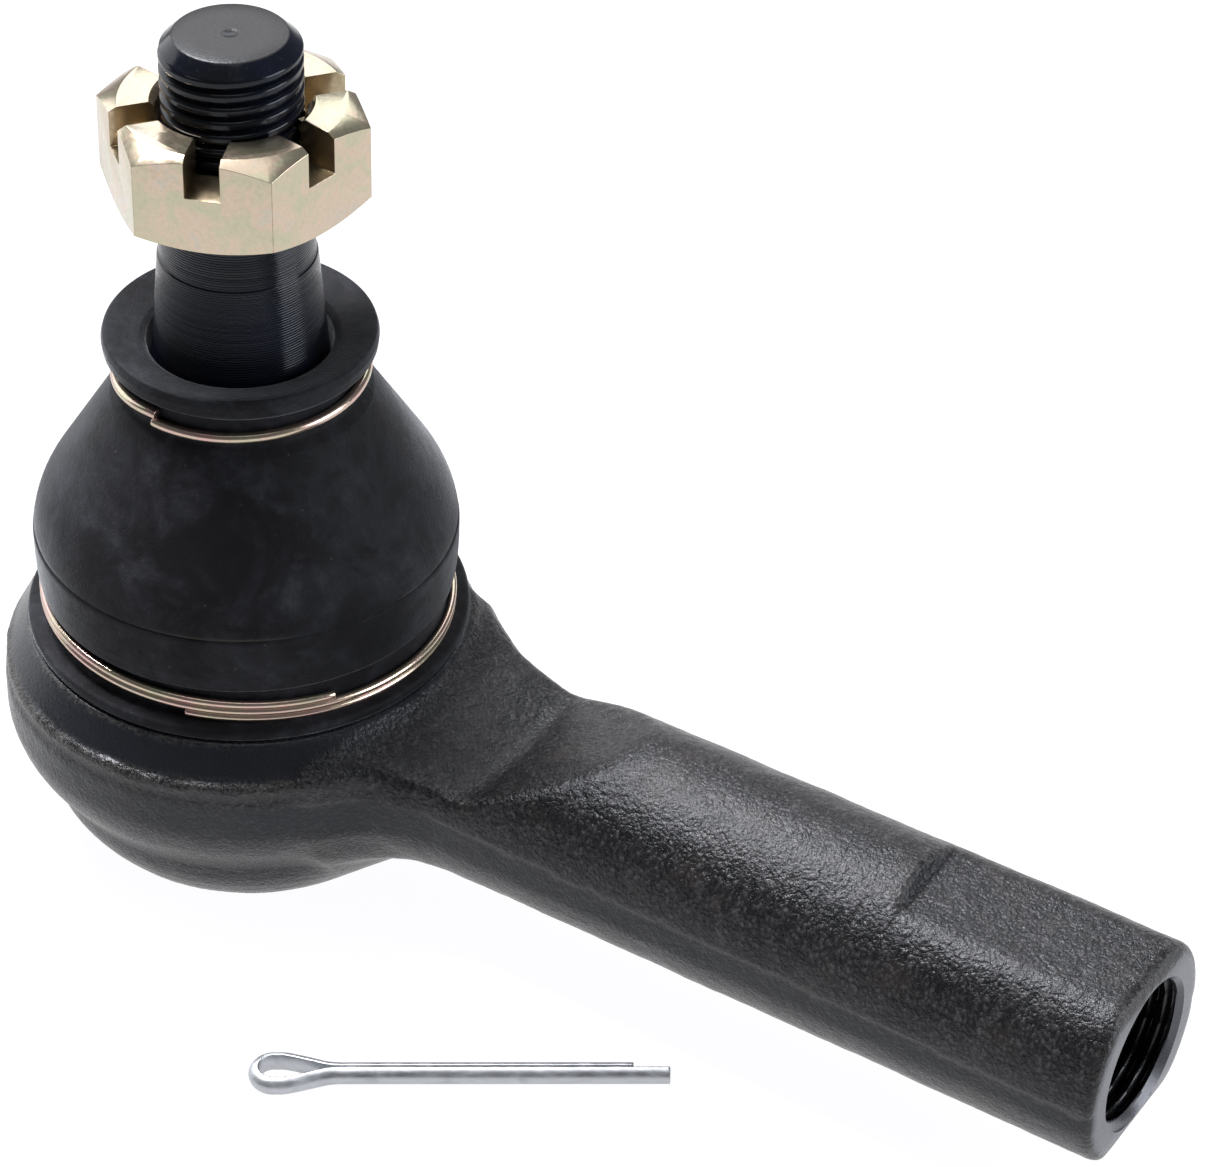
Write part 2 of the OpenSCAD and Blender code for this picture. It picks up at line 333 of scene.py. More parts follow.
def lookup(table, x0, y0, gap, x, y):
    """Bilinear reading of a 2-D table whose first axis is x and second y."""
    fx = np.clip((x - x0) / gap, 0, table.shape[0] - 1.001)
    fy = np.clip((y - y0) / gap, 0, table.shape[1] - 1.001)
    i, j = fx.astype(int), fy.astype(int)
    u, v = fx - i, fy - j
    return (table[i, j] * (1 - u) * (1 - v) + table[i + 1, j] * u * (1 - v)
            + table[i, j + 1] * (1 - u) * v + table[i + 1, j + 1] * u * v)


def lookup3(field, lo, gap, co):
    """Trilinear reading of a 3-D field at points."""
    g = (co - lo) / gap
    i = np.clip(g.astype(int), 0, np.array(field.shape) - 2)
    u = g - i
    total = 0
    for d in np.ndindex(2, 2, 2):
        w = np.prod([np.where(d[k], u[:, k], 1 - u[:, k]) for k in range(3)], axis=0)
        total = total + w * field[i[:, 0] + d[0], i[:, 1] + d[1], i[:, 2] + d[2]]
    return total


def profile_reader(profile, x_range, y_range):
    """A function of (x, y) that reads the distance to a closed profile from a fine table."""
    gx, gy = np.meshgrid(np.arange(*x_range, TABLE_GAP), np.arange(*y_range, TABLE_GAP), indexing="ij")
    table = polygon_distance(gx, gy, profile)
    return lambda x, y: lookup(table, x_range[0], y_range[0], TABLE_GAP, x, y)


def smooth_min(a, b, k):
    h = np.maximum(k - np.abs(a - b), 0) / k
    return np.minimum(a, b) - h * h * k / 4


def smooth_max(a, b, k):
    return -smooth_min(-a, -b, k)


def surface_net(field, lo, gap):
    """Points and quads of the field's zero surface: a point in each cell that the surface crosses."""
    cells = np.array(field.shape) - 1
    ids, pts, quads = [], [], []
    for ax in range(3):
        low = [slice(None)] * 3
        high = [slice(None)] * 3
        low[ax], high[ax] = slice(0, -1), slice(1, None)
        a, b = field[tuple(low)], field[tuple(high)]
        where = np.argwhere((a < 0) != (b < 0))
        va, vb = a[tuple(where.T)], b[tuple(where.T)]
        p = where.astype(float)
        p[:, ax] += va / (va - vb)
        o1, o2 = (ax + 1) % 3, (ax + 2) % 3
        keep = (where[:, o1] > 0) & (where[:, o2] > 0)
        keep = keep & (where[:, o1] < cells[o1]) & (where[:, o2] < cells[o2])
        where, p, inner = where[keep], p[keep], (va < 0)[keep]
        corners = []
        for d1, d2 in ((1, 1), (0, 1), (0, 0), (1, 0)):
            c = where.copy()
            c[:, o1] -= d1
            c[:, o2] -= d2
            corners.append(np.ravel_multi_index(c.T, cells))
            ids.append(corners[-1])
            pts.append(p)
        quad = np.stack(corners, 1)
        quad[~inner] = quad[~inner][:, ::-1]
        quads.append(quad)
    ids, pts, quads = np.concatenate(ids), np.concatenate(pts), np.concatenate(quads)
    used, index = np.unique(ids, return_inverse=True)
    count = np.bincount(index).astype(float)
    co = np.stack([np.bincount(index, pts[:, k]) / count for k in range(3)], 1)
    return co * gap + lo, np.searchsorted(used, quads)


# ---------------------------------------------------------------- node material helper
class Mat:
    """Builds a node material with few words. Coordinates are in millimetres in the object's space."""

    def __init__(self, name):
        self.material = bpy.data.materials.new(name)
        self.material.use_nodes = True
        self.tree = self.material.node_tree
        self.shader = self.tree.nodes["Principled BSDF"]
        coord = self.node("ShaderNodeTexCoord")
        scale = self.node("ShaderNodeVectorMath", operation="SCALE")
        scale.inputs["Scale"].default_value = 1 / MM
        self.tree.links.new(coord.outputs["Object"], scale.inputs[0])
        self.mm = scale.outputs[0]

    def set(self, **values):
        """Sets shader inputs. An underscore stands for a space in the input's name."""
        for k, v in values.items():
            self.shader.inputs[k.replace("_", " ")].default_value = v

    def link(self, out, name):
        self.tree.links.new(out, self.shader.inputs[name])

    def node(self, kind, **settings):
        n = self.tree.nodes.new(kind)
        for k, v in settings.items():
            setattr(n, k, v)
        return n

    def wire(self, value, socket):
        """Links a socket to value if that is an output, or else sets the socket to it."""
        if hasattr(value, "default_value") and hasattr(value, "is_linked"):
            self.tree.links.new(value, socket)
        else:
            socket.default_value = value

    def noise(self, scale, detail=3, rough=0.55, vector=None, distortion=0):
        n = self.node("ShaderNodeTexNoise")
        self.tree.links.new(vector or self.mm, n.inputs["Vector"])
        n.inputs["Scale"].default_value = scale
        n.inputs["Detail"].default_value = detail
        n.inputs["Roughness"].default_value = rough
        n.inputs["Distortion"].default_value = distortion
        return n.outputs["Fac"]

    def voronoi(self, scale):
        n = self.node("ShaderNodeTexVoronoi")
        self.tree.links.new(self.mm, n.inputs["Vector"])
        n.inputs["Scale"].default_value = scale
        return n.outputs["Distance"]

    def math(self, op, a, b=0.0):
        n = self.node("ShaderNodeMath", operation=op)
        self.wire(a, n.inputs[0])
        self.wire(b, n.inputs[1])
        return n.outputs[0]

    def add(self, a, b):
        return self.math("ADD", a, b)

    def times(self, a, b):
        return self.math("MULTIPLY", a, b)

    def ramp(self, fac, stops):
        n = self.node("ShaderNodeValToRGB")
        self.wire(fac, n.inputs[0])
        e = n.color_ramp.elements
        while len(e) < len(stops):
            e.new(0.5)
        for el, (pos, col) in zip(e, stops):
            el.position = pos
            el.color = (*col, 1)
        return n.outputs["Color"]

    def range(self, v, a, b, c=0.0, d=1.0, smooth=False):
        """v read from a..b onto c..d, held at both ends."""
        n = self.node("ShaderNodeMapRange", clamp=True)
        if smooth:
            n.interpolation_type = "SMOOTHSTEP"
        for k, x in zip(("Value", "From Min", "From Max", "To Min", "To Max"), (v, a, b, c, d)):
            self.wire(x, n.inputs[k])
        return n.outputs["Result"]

    def mix(self, fac, a, b):
        """Colour a where fac is 0 and b where it is 1. Inputs 6 and 7 are the node's two colours."""
        n = self.node("ShaderNodeMix", data_type="RGBA")
        self.wire(fac, n.inputs["Factor"])
        for v, s in ((a, n.inputs[6]), (b, n.inputs[7])):
            self.wire((*v, 1) if isinstance(v, tuple) else v, s)
        return n.outputs[2]

    def attribute(self, name):
        return self.node("ShaderNodeAttribute", attribute_name=name).outputs["Fac"]

    def split(self):
        """The coordinates as three outputs: x, y and z."""
        n = self.node("ShaderNodeSeparateXYZ")
        self.tree.links.new(self.mm, n.inputs[0])
        return n.outputs

    def stretch(self, x, y, z):
        n = self.node("ShaderNodeVectorMath", operation="MULTIPLY")
        self.tree.links.new(self.mm, n.inputs[0])
        n.inputs[1].default_value = (x, y, z)
        return n.outputs[0]

    def bump(self, height, depth, strength):
        """A bump normal. The depth is in millimetres."""
        n = self.node("ShaderNodeBump")
        self.wire(height, n.inputs["Height"])
        n.inputs["Distance"].default_value = depth * MM
        self.wire(strength, n.inputs["Strength"])
        return n.outputs["Normal"]


# ---------------------------------------------------------------- materials
def forged_material():
    """Black forging scale. The housing's grain, bare and edge attributes say where it shows, and deep says
    where painted shade darkens the hollows.
    """
    m = Mat("forged_black_steel")
    grain, bare, edge = m.attribute("grain"), m.attribute("bare"), m.attribute("edge")
    granule = m.noise(2.6, 3, 0.62)
    pebble = m.voronoi(2.0)
    lumps = m.noise(0.7, 2, 0.5)
    finer = m.noise(6.0, 2, 0.6)
    tone = m.noise(0.09, 3, 0.6)
    height = m.add(granule, m.times(pebble, -0.33))
    height = m.add(height, m.times(lumps, 0.45))
    height = m.add(height, m.times(finer, 0.10))
    dark = m.mix(m.range(tone, 0.35, 0.65), (0.0048, 0.0047, 0.0056), (0.0085, 0.0083, 0.0092))
    # painted highlight and shade: granule tops are made lighter, as glints, and the pits darker, as shade
    # between the granules
    peak_glint = m.range(height, 0.60, 0.82)
    pit_shade = m.range(height, 0.62, 0.42)
    # worn gathers the scale's colour: painted glints and shade on the granules, rust, bluish smooth faces and
    # worn edge specks
    worn = m.mix(m.times(peak_glint, m.times(grain, 0.85)), dark, (0.034, 0.033, 0.035))
    tip_glint = m.times(m.range(height, 0.74, 0.86), m.times(grain, 0.5))
    worn = m.mix(tip_glint, worn, (0.062, 0.060, 0.063))
    worn = m.mix(m.times(pit_shade, m.times(grain, 0.95)), worn, (0.0022, 0.0022, 0.0026))
    rust = m.times(m.range(m.noise(0.16, 4, 0.7), 0.53, 0.75), m.times(grain, 0.30))
    worn = m.mix(rust, worn, (0.052, 0.037, 0.028))
    cool = m.times(m.range(grain, 0.75, 0.5), 0.8)
    worn = m.mix(cool, worn, (0.0092, 0.0105, 0.0140))
    specks = m.times(edge, m.range(m.noise(2.9, 3, 0.7), 0.44, 0.60))
    worn = m.mix(specks, worn, (0.080, 0.075, 0.069))
    steel = m.mix(m.noise(0.6, 2, 0.5), (0.068, 0.069, 0.076), (0.100, 0.102, 0.112))
    # painted shade: the deep bore and the socket's inside are made near-black, as the shadow in these hollows
    worn = m.mix(m.attribute("deep"), worn, (0.002, 0.002, 0.0022))
    m.link(m.mix(bare, worn, steel), "Base Color")
    m.link(m.range(finer, 0.3, 0.7, 0.22, 0.34), "Roughness")
    m.link(m.times(bare, 0.35), "Metallic")
    m.link(m.bump(height, 0.175, m.add(m.times(grain, 0.9), 0.03)), "Normal")
    m.set(Specular_IOR_Level=0.35, Specular_Tint=(0.93, 0.945, 1, 1))
    return m.material


def rubber_material():
    """Dull black rubber with a cloudy bloom, some dust and a worn crease at z 20."""
    m = Mat("boot_rubber")
    z = m.split()[2]
    bloom = m.noise(0.13, 6, 0.68, distortion=0.5)
    cloud = m.noise(0.55, 5, 0.7)
    fine = m.noise(5.0, 3, 0.6)
    base = m.mix(m.range(bloom, 0.40, 0.66), (0.0052, 0.0053, 0.0063), (0.0135, 0.0140, 0.0180))
    veil = m.times(m.range(cloud, 0.42, 0.72), m.range(bloom, 0.45, 0.7))
    base = m.mix(m.times(veil, 0.9), base, (0.042, 0.043, 0.050))
    dust = m.times(m.range(m.voronoi(1.6), 0.13, 0.05), m.range(m.noise(0.21, 3), 0.5, 0.62))
    base = m.mix(m.times(dust, 0.6), base, (0.060, 0.060, 0.066))
    fleck = m.times(m.range(m.voronoi(0.42), 0.06, 0.03), 0.7)
    base = m.mix(fleck, base, (0.055, 0.048, 0.038))
    from_crease = m.math("ABSOLUTE", m.math("SUBTRACT", z, 20.0))
    ridge = m.times(m.range(from_crease, 0.22, 0.05), m.range(m.noise(0.12, 2), 0.47, 0.56))
    base = m.mix(m.times(ridge, 0.5), base, (0.050, 0.042, 0.034))
    m.link(base, "Base Color")
    m.link(m.range(cloud, 0.3, 0.7, 0.5, 0.72), "Roughness")
    m.link(m.bump(m.add(m.times(fine, 0.8), cloud), 0.11, 0.7), "Normal")
    m.set(Specular_IOR_Level=0.10, Sheen_Weight=0.33, Sheen_Roughness=0.3, Sheen_Tint=(0.92, 0.95, 1, 1))
    return m.material


def zinc_material(name, pink=0.0):
    """Yellow zinc plate. Pink is how much of its pink bloom shows. Without it, painted shade goes in the
    slots and darker lines on the corners.
    """
    m = Mat(name)
    hue = m.noise(0.26, 4, 0.65, distortion=0.8)
    fine = m.noise(2.2, 4, 0.65)
    base = m.ramp(hue, [(0.34, (0.455, 0.44, 0.315)), (0.46, (0.50, 0.45, 0.33)),
                        (0.55, (0.56, 0.445, 0.345)), (0.66, (0.50, 0.45, 0.37))])
    base = m.mix(m.range(fine, 0.45, 0.75, 0, 0.25), base, (0.36, 0.31, 0.21))
    if pink:
        patches = m.noise(0.11, 2, 0.5, distortion=1.5)
        base = m.mix(m.range(patches, 0.4, 0.62, 0, pink), base, (0.60, 0.33, 0.36))
    else:
        # painted shade: the slots' walls and floors are tinted a darker golden brown, standing in for the
        # shade and bounced light inside them
        slot_shade = m.times(m.attribute("slot"), m.range(fine, 0.3, 0.6, 0.5, 0.9))
        base = m.mix(slot_shade, base, (0.36, 0.28, 0.17))
        on_corner = m.times(m.attribute("corner"), m.range(fine, 0.35, 0.55, 0.35, 0.8))
        base = m.mix(on_corner, base, (0.17, 0.145, 0.11))
    m.link(base, "Base Color")
    m.link(m.range(fine, 0.3, 0.7, 0.17, 0.27), "Roughness")
    m.link(m.bump(m.add(m.times(fine, 0.3), m.noise(0.6, 2)), 0.03, 0.6), "Normal")
    m.set(Metallic=0.94)
    return m.material


def stud_material():
    """Black oxide over turned steel. The turning lines end at the thread, and the top is greyer."""
    m = Mat("stud_black_oxide")
    z = m.split()[2]
    turned_part = m.times(m.range(z, 20, 21), m.range(z, 59.3, 59.0))
    wobble = m.noise(0.35, 2)
    lines = m.math("SINE", m.times(m.add(z, m.times(wobble, 0.10)), 2 * math.pi / 0.27))
    uneven = m.noise(1.0, 3, 0.7, vector=m.stretch(0.01, 0.01, 2.6))
    height = m.add(m.times(lines, m.range(uneven, 0.3, 0.7, 0.4, 0.7)), m.times(uneven, 0.35))
    height = m.times(height, turned_part)
    scuffs = m.noise(1.8, 4, 0.65)
    height = m.add(height, m.times(scuffs, 0.35))
    blue = m.noise(0.12, 2)
    base = m.mix(m.range(blue, 0.4, 0.62), (0.0030, 0.0032, 0.0042), (0.0040, 0.0050, 0.0105))
    top = m.range(z, 75.60, 75.72)
    base = m.mix(top, base, (0.017, 0.016, 0.0165))
    base = m.mix(m.times(m.range(scuffs, 0.6, 0.8), 0.5), base, (0.025, 0.023, 0.022))
    m.link(base, "Base Color")
    m.link(m.add(m.range(scuffs, 0.3, 0.75, 0.11, 0.22), m.times(top, 0.2)), "Roughness")
    height = m.add(height, m.times(m.noise(3.2, 3, 0.6), m.times(top, 1.3)))
    m.link(m.bump(height, 0.035, 0.8), "Normal")
    m.set(Specular_IOR_Level=0.28, Specular_Tint=(0.90, 0.94, 1, 1))
    return m.material


def steel_material(name, colour, rough, metallic=1.0, scratch=(1, 1, 1), depth=0.01):
    """Steel with streaks that scratch stretches, and darker mottling."""
    m = Mat(name)
    streak = m.noise(1.5, 4, 0.65, vector=m.stretch(*scratch))
    mottle = m.noise(0.5, 3)
    light = tuple(min(1, c * 1.25) for c in colour)
    base = m.mix(m.range(streak, 0.35, 0.68), colour, light)
    base = m.mix(m.range(mottle, 0.55, 0.75, 0, 0.4), base, tuple(c * 0.6 for c in colour))
    m.link(base, "Base Color")
    m.link(m.range(streak, 0.3, 0.7, rough * 0.8, rough * 1.3), "Roughness")
    m.link(m.bump(streak, depth, 0.6), "Normal")
    m.set(Metallic=metallic)
    return m.material


def plastic_material():
    m = Mat("liner_acetal")
    grain = m.noise(1.6, 4, 0.6)
    base = m.mix(m.range(grain, 0.4, 0.62), (0.72, 0.69, 0.60), (0.78, 0.76, 0.68))
    m.link(base, "Base Color")
    m.link(m.range(grain, 0.3, 0.7, 0.4, 0.55), "Roughness")
    m.link(m.bump(grain, 0.01, 0.4), "Normal")
    m.set(Specular_IOR_Level=0.45)
    return m.material


FORGED = forged_material()
RUBBER = rubber_material()
ZINC_NUT = zinc_material("nut_yellow_zinc")
ZINC_RING = zinc_material("ring_yellow_zinc", 0.55)
STUD = stud_material()
PIN = steel_material("pin_bright_zinc", (0.42, 0.432, 0.455), 0.42, scratch=(0.35, 0.35, 1.2), depth=0.02)
PLATE = steel_material("plate_steel", (0.42, 0.43, 0.45), 0.3)
SPRING = steel_material("spring_oiled_steel", (0.17, 0.175, 0.185), 0.35)
CAP = steel_material("cap_black_steel", (0.045, 0.046, 0.05), 0.42, metallic=0.2, depth=0.03)
LINER = plastic_material()


def dress(o, material):
    o.data.materials.clear()
    o.data.materials.append(material)


# ---------------------------------------------------------------- housing: a forging, then its machined cuts
HEAD_R = 25.6
FLANK_R, FLANK_Z = 11.0, -0.3
SHANK_R, SHANK_X = 11.2, 104.6
FILLET_R = 16.0
FILLET_Y = SHANK_R + FILLET_R
FILLET_X = math.sqrt((HEAD_R + FILLET_R) ** 2 - FILLET_Y ** 2)
BOTTOM_Z = -16.0
COLLAR_R, COLLAR_Z = 22.8, 7.9
CONE_SLOPE, CONE_NORM = 1.72, 1.99
LEDGE_Z = 4.5
SPIGOT_R, SPIGOT_Z = 19.6, 12.6
VALLEY_X, VALLEY_Z, RAMP_SLOPE = 34.0, 4.35, 0.509
FLAT_X, FLAT_Z = 80.1, 9.6


def head_profile():
    """(radius, z) outline of the head. Its ledge has a slightly hollow lip."""
    a = np.linspace(0, math.radians(62), 14)
    flank = [(HEAD_R - FLANK_R + FLANK_R * math.cos(t), FLANK_Z - FLANK_R * math.sin(t)) for t in a]
    flank = [p for p in flank if p[0] > 22.1]
    ledge = [(-5, LEDGE_Z), (24.95, LEDGE_Z), (25.3, 4.38), (25.5, 4.1), (25.58, 3.7), (25.52, 3.3),
             (25.36, 2.9), (25.34, 2.4), (25.46, 1.9), (HEAD_R, 1.4)]
    foot = [(21.75, -9.3), (21.55, -10.2), (21.2, -11.4), (20.6, -12.7), (19.6, -14.2), (18.4, -15.6),
            (17.8, BOTTOM_Z), (-5, BOTTOM_Z)]
    return ledge + flank + foot


def collar_profile():
    """(radius, z) outline of the collar and the cone under it."""
    return [(-5, COLLAR_Z), (COLLAR_R - 0.15, COLLAR_Z), (COLLAR_R, COLLAR_Z - 0.15),
            (24.9, COLLAR_Z - 2.1 * CONE_SLOPE), (24.9, -4), (-5, -4)]


def neck_profile():
    """(x, radius) outline of the shank and the fillet that widens it into the head."""
    start = math.asin((FILLET_X - FILLET_X * HEAD_R / (HEAD_R + FILLET_R)) / FILLET_R)
    a = np.linspace(start, 0, 16)
    arc = [(FILLET_X - FILLET_R * math.sin(t), FILLET_Y - FILLET_R * math.cos(t)) for t in a]
    end = SHANK_X + 1.5
    return [(0, 0), (arc[0][0] - 4, arc[0][1] - 1)] + arc + [(end, SHANK_R), (end, -30), (0, -30)]


def flash_line(x):
    """Height of the trimmed flash along the part."""
    return np.interp(x, [-30, 24, 33, 60, 105], [1.9, 1.9, 1.15, 0.95, 0.0])


def cone_gap(r, z):
    """Distance from the cone under the collar."""
    return (z - COLLAR_Z + CONE_SLOPE * (r - COLLAR_R)) / CONE_NORM


def head_field(x, y, z, r, far):
    """The head and its collar. Its upper part is narrower to the left and on the far side."""
    read_head = profile_reader(head_profile(), (0, 115), (-22, 18))
    read_collar = profile_reader(collar_profile(), (0, 115), (-22, 18))
    turn = np.arctan2(y, x)
    narrow = 0.45 * ((1 - x / np.maximum(r, 1)) / 2) ** 2 * step(z, 1, 5)
    narrow = narrow + 1.2 * far * step(z, -1.5, 3.0)
    ragged = 0.10 * np.sin(5 * turn + 1) + 0.07 * np.sin(13 * turn) + 0.06 * np.sin(31 * turn + 2)
    ragged = ragged * (1 - far) * step(z, 2, 4)
    head = read_head(r + narrow + ragged * 0.25, z + ragged)
    chamfer = ((r - 23.7) * CONE_SLOPE + z - LEDGE_Z) / CONE_NORM
    head = np.where(far > 0, smooth_max(head, chamfer - 6 * (1 - far), 2.0), head)
    collar = read_collar(r + far * np.clip(COLLAR_Z - z, 0, 4) * 0.33, z)
    return smooth_min(head, collar, 0.15 + 2.2 * far)


def neck_field(x, y, z, r, rho, neck):
    """The neck under its valley and ramp, flattened below, from the plain shank's field."""
    crown = np.where(y < 0, 0.0088, 0.0035) * y * y * np.clip((35.5 - x) / 9, 0, 1)
    deck = VALLEY_Z - 0.05 + 0.27 * (VALLEY_X - r) - crown
    ramp = VALLEY_Z + RAMP_SLOPE * (x - VALLEY_X)
    above = (z - smooth_max(deck, ramp, 1.1)) * 0.92
    neck = smooth_max(neck, above, 0.9)
    under = -9.2 - z
    flare = smooth_max(neck, smooth_min(under, rho - SHANK_R - 1.2, 2.0), 2.4)
    return np.where(x < FILLET_X, flare, neck)


def housing_field(x, y, z):
    """Distance to the forging's surface, negative inside. No hole is cut yet."""
    r, rho = np.hypot(x, y), np.hypot(y, z)
    far = step(np.cos(np.arctan2(y, x) - 1.2), 0.45, 0.9)
    far_cut = 1.7 * far * step(x, 25, 13)
    read_neck = profile_reader(neck_profile(), (-5, 112), (0, 40))
    fuller = 0.95 * step(y, 1, 7) * step(x, 16, 24) * step(x, 37, 28)
    neck = read_neck(x, rho - fuller) + 2.6 * step(z, -1.5, -8.5) * step(x, 29, 15) + far_cut
    neck = neck_field(x, y, z, r, rho, np.where(x < 0, 30.0, neck))
    solid = smooth_min(head_field(x, y, z, r, far), neck, 2.2 + 3.4 * step(z, -3.5, -8.5) + 2.0 * far)
    # trimmed flash: a narrow upright band right round the outline
    side = np.where(x < 0, 30.0, read_neck(x, np.abs(y) - fuller) + far_cut)
    outline = smooth_min(r - HEAD_R, side, 1.5)
    line = flash_line(x) + 0.06 * np.sin(x * 0.9) + 0.05 * np.sin(x * 2.3 + y)
    depth = np.interp(x, [-30, 20, 34, 105], [0.12, 0.14, 0.24, 0.24])
    trim = outline + depth - 4 * step(z, line - 0.12, line + 0.22)
    solid = smooth_max(solid, trim, 0.12)
    # wrench flats with a short slanted start, then the shank's end
    flat = (np.abs(z) - FLAT_Z - np.maximum(0, FLAT_X - x) * 2.6) * 0.40
    solid = smooth_max(solid, flat, 0.45)
    return smooth_max(solid, x - SHANK_X, 1.3)


def build_forging():
    """The forging's mesh, with small lumps everywhere but on the machined faces."""
    gap = 0.36
    lo = np.array([-27.0, -27.2, -17.4])
    hi = np.array([107.5, 27.2, 13.0])
    axes = [np.arange(a, b, gap, dtype=np.float32) for a, b in zip(lo, hi)]
    field = housing_field(*np.meshgrid(*axes, indexing="ij"))
    co, quads = surface_net(field, lo, gap)
    o = make_object("housing_forging", co, quads.tolist(), 60)
    co, n = points_of(o), normals_of(o)
    co = co - n * np.clip(lookup3(field, lo, gap, co), -0.2, 0.2)[:, None]
    x, y, z = co.T
    r = np.hypot(x, y)
    machined = ((np.abs(cone_gap(r, z)) < 0.14) & (z > 4.6) & (r > 22)) | ((z > COLLAR_Z - 0.15) & (r < 23))
    machined = machined | (z < BOTTOM_Z + 0.12) | (x > SHANK_X - 0.3)
    amount = 1 - soften(o, machined.astype(float), 2)
    below = step(z, 1.2, -1.5) * step(x, 34, 22)
    lumps = (noise_at(co, 0.62) * 0.03 + noise_at(co, 1.3, (9, 3, 1)) * 0.035
             + noise_at(co, 0.17, (3, 1, 7)) * 0.09)
    set_points(o, co + n * (lumps * amount * (1 - 0.45 * below))[:, None])
    return o


def thread_tool():
    """The space of the tapped hole: M16 x 1.5 with a countersink and a drill point."""
    minor, deep = 7.19, 0.81
    steps = 120
    t = np.arange(steps) / steps
    x = np.concatenate([np.arange(SHANK_X - 48, SHANK_X - 0.02, PITCH / 12), [SHANK_X, SHANK_X + 2]])
    tooth = np.clip((thread_offset(x, t) * 2 - 0.22) / 0.62, 0, 1)
    runout = step(x, SHANK_X - 46, SHANK_X - 43)[:, None]
    r = minor + deep * tooth * runout
    r = np.maximum(r, (7.95 - (SHANK_X - x) * 0.9)[:, None])
    a = t * 2 * math.pi
    rings = np.stack([np.repeat(x[:, None], steps, 1), r * np.cos(a), r * np.sin(a)], -1)
    tip = np.stack([np.full(steps, SHANK_X - 51.0), 0.4 * np.cos(a), 0.4 * np.sin(a)], -1)[None]
    return make_object("tool", *capped_tube(np.concatenate([tip, rings])))


def paint_housing(o):
    """Attributes for the forged material: grain, bare steel, deep places that get painted shade, and worn
    edges.
    """
    co, n = points_of(o), normals_of(o)
    x, y, z = co.T
    r, rho = np.hypot(x, y), np.hypot(y, z)
    inside = (r < 19.9) & (x < 30) & ((r < 17.2) | (z > 7.5))
    bore = (rho < 8.1) & (x > 52)
    end = x > SHANK_X - 0.12
    cone = (np.abs(cone_gap(r, z)) < 0.2) & (r > 22) & (z > 4.55)
    collar = cone | ((z > COLLAR_Z - 0.2) & (r < 23))
    foot = z < BOTTOM_Z + 0.1
    line = flash_line(x)
    band = (z < line) & (z > line - 4.2) & (np.abs(n[:, 2]) < 0.25) & ~bore
    grain = 1 - 0.15 * step(z, line + 0.3, line - 0.3)
    grain = np.where(band, 0.60, grain)
    grain = np.where(collar, 0.20, grain)
    grain = np.where(inside | bore | end | foot, 0.03, grain)
    deep_bore = bore & (x < SHANK_X - 1.2)
    # convex edges: points that stand out from the mean of their neighbours
    e = edges_of(o)
    count = np.maximum(np.bincount(e.ravel(), minlength=len(co)), 1)[:, None]
    mean = np.stack([neighbour_sum(e, co[:, k]) for k in range(3)], 1) / count
    convex = ((co - mean) * n).sum(1)
    rim = step(convex, 0.012, 0.05) * (rho > 9) * ~inside
    # the ledge's ridge gets lighter specks: partly wear, partly a painted highlight where the ridge faces the
    # overhead light
    ledge = step(z, 3.2, 3.9) * step(z, 4.9, LEDGE_Z) * (r > 24.6) * (r < 25.8) * 0.5
    collar_rim = np.hypot(r - COLLAR_R, z - COLLAR_Z) < 0.3
    near_left = step(np.cos(np.arctan2(y, x) + 2.3), 0.05, 0.75)
    rim = np.maximum(rim, np.maximum(ledge, collar_rim * near_left))
    add_attribute(o, "grain", soften(o, grain, 2))
    add_attribute(o, "bare", (end | bore) & ~deep_bore)
    # deep marks the hollows that the material darkens as painted shade
    add_attribute(o, "deep", deep_bore | (inside & (z < 12)))
    add_attribute(o, "edge", soften(o, rim, 2))


def build_housing():
    o = build_forging()
    spigot = [(SPIGOT_R, 6.5), (SPIGOT_R, SPIGOT_Z - 0.4), (SPIGOT_R - 0.4, SPIGOT_Z), (13, SPIGOT_Z),
              (13, 6.5)]
    # known fault: turned round like this, the ring's faces point inwards above the collar
    cut(o, revolve("tool", spigot[::-1], closed_loop=True), "UNION")
    socket = [(15.2, -18), (15.2, -15.3), (17, -15.3), (17, -13.5), (16.4, -13.5), (16.4, 5.2), (13.1, 7.2),
              (15.3, SPIGOT_Z), (15.6, 14)]
    cut(o, revolve("tool", socket))
    cut(o, thread_tool())
    widest = HEAD_R + 0.02
    set_points(o, np.clip(points_of(o), [-widest, -widest, BOTTOM_Z], [SHANK_X, widest, SPIGOT_Z]))
    shade(o.data, 42)
    paint_housing(o)
    dress(o, FORGED)
    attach(o, "housing")
    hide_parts("housing")


build_housing()

# ---------------------------------------------------------------- ball stud
BALL_R, BALL_FLAT_Z = 13.5, -9.0
STUD_TOP_Z = 75.75
THREAD_Z = 59.9
CROSS_HOLE_R, CROSS_HOLE_Z = 1.7, 66.475
NUT_TURN = math.radians(22.1)


def stud_below_thread():
    """(radius, z) outline of the ball, the neck and the taper."""
    lowest, joint = math.asin(BALL_FLAT_Z / BALL_R), math.acos(7.6 / BALL_R)
    ball = [(BALL_R * math.cos(t), BALL_R * math.sin(t)) for t in np.linspace(lowest, joint, 34)]
    body = rounded([ball[-1], (7.6, 20), (9.55, 26), (9.55, 31), (7.87, 51.5), (7.72, 51.75), (7.2, 59),
                    (6.1, THREAD_Z)], [0, 2.5, 1.2, 1.5, 0.05, 0.05, 0.15, 0], 5)
    flat = [(0.6, BALL_FLAT_Z), (8.5, BALL_FLAT_Z), (10.0, BALL_FLAT_Z)]
    return resample(np.array(flat + ball + list(body[1:])), 0.8)


